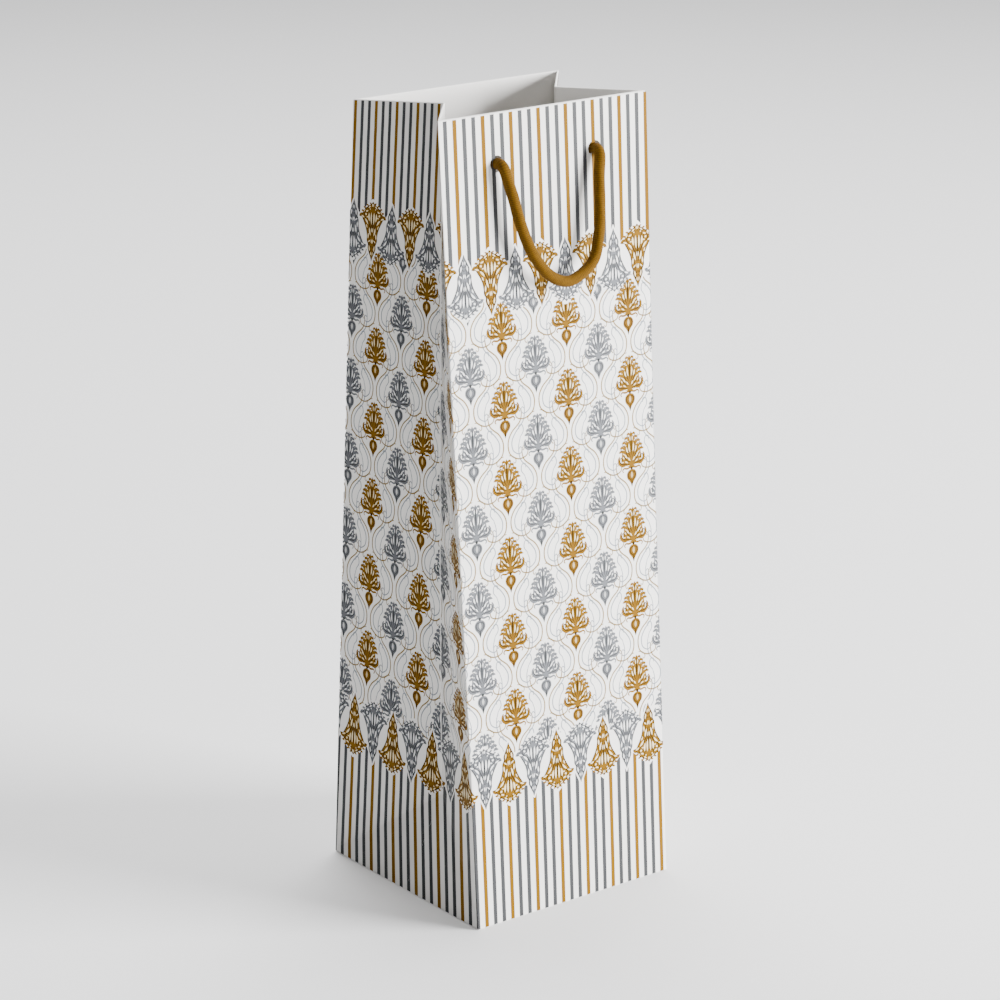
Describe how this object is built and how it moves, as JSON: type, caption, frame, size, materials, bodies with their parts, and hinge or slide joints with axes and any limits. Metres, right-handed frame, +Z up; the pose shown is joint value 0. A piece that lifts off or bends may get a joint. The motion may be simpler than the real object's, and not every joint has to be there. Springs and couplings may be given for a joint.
{
  "type": "wine gift bag",
  "caption": "Tall white paper gift bag for one wine bottle, with side gussets, punched holes, knotted brown rope handles and a damask print in gold and grey",
  "frame": {"origin": "Centre of the outline at the flat bottom, on the surface the bag stands on.", "axes": "+Z up, -Y out of the front panel, +X to the right as the front panel is seen."},
  "size_m": [0.112, 0.1094, 0.356],
  "materials": {
    "printed_paper": "satin",
    "plain_paper": "matte",
    "card": "matte",
    "rope": "matte"
  },
  "bodies": {
    "bag": {"front_panel": "printed_paper", "back_panel": "printed_paper", "left_gusset_front": "printed_paper", "left_gusset_rear": "printed_paper", "left_gusset_triangle": "printed_paper", "right_gusset_front": "printed_paper", "right_gusset_rear": "printed_paper", "right_gusset_triangle": "printed_paper", "bottom_flap_front": "printed_paper", "bottom_flap_back": "printed_paper", "bottom_flap_left": "printed_paper", "bottom_flap_right": "printed_paper", "side_seam_flap": "plain_paper", "front_hem": "plain_paper", "back_hem": "plain_paper", "left_hem_front": "plain_paper", "left_hem_rear": "plain_paper", "right_hem_front": "plain_paper", "right_hem_rear": "plain_paper", "front_strip": "card", "back_strip": "card", "front_knot_left": "rope", "front_knot_right": "rope", "back_knot_left": "rope", "back_knot_right": "rope"},
    "front_handle": {"front_handle": "rope"},
    "back_handle": {"back_handle": "rope"},
    "base_board": {"base_board": "card"}
  },
  "joints": [
    {"name": "front_handle_swing", "type": "hinge", "parent": "bag", "child": "front_handle", "pos_m": [0, -0.03601, 0.33489], "axis": [-1, 0, 0], "range_deg": [-4, 170]},
    {"name": "back_handle_swing", "type": "hinge", "parent": "bag", "child": "back_handle", "pos_m": [0, 0.03601, 0.33489], "axis": [1, 0, 0], "range_deg": [-4, 170]},
    {"name": "base_board_lift", "type": "slide", "parent": "bag", "child": "base_board", "axis": [0, 0, 1], "range_m": [0, 0.0032]}
  ]
}
